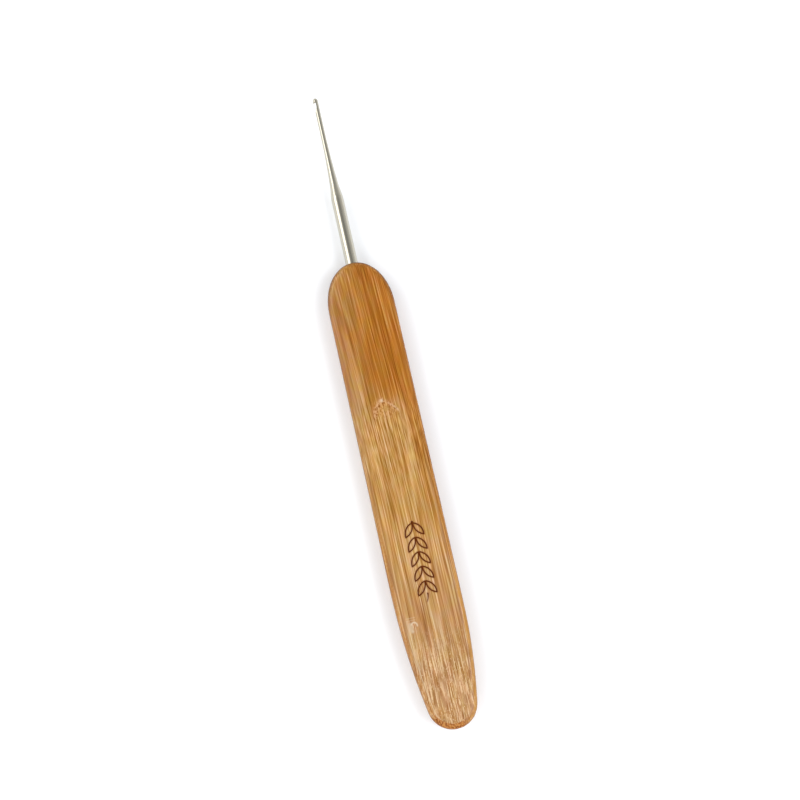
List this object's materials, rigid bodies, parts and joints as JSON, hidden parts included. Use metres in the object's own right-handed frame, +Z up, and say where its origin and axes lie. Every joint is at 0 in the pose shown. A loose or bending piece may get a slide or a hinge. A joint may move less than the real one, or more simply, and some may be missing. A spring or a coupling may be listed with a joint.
{
  "type": "crochet hook",
  "caption": "Fine steel crochet hook with a milled throat and slender taper, glued into a flat bamboo handle with a rounded nose and tapered butt.",
  "frame": {"origin": "on the resting surface, below the centre of the object's bounding box", "axes": "+Y along the object from the butt to the hook's tip, +Z up out of the handle's top face, +X to the right seen from above; the throat of the hook opens towards -X"},
  "size_m": [0.0138, 0.135, 0.006],
  "materials": {
    "bamboo": "caramelised bamboo with fine lengthwise fibres under a thin satin lacquer, rougher at the butt",
    "plated_steel": "polished nickel plate on turned steel, slightly warm",
    "glue": "cured clear amber adhesive"
  },
  "bodies": {
    "root": {"bamboo_handle": "bamboo", "steel_hook": "plated_steel", "glue_bond": "glue"}
  },
  "joints": []
}
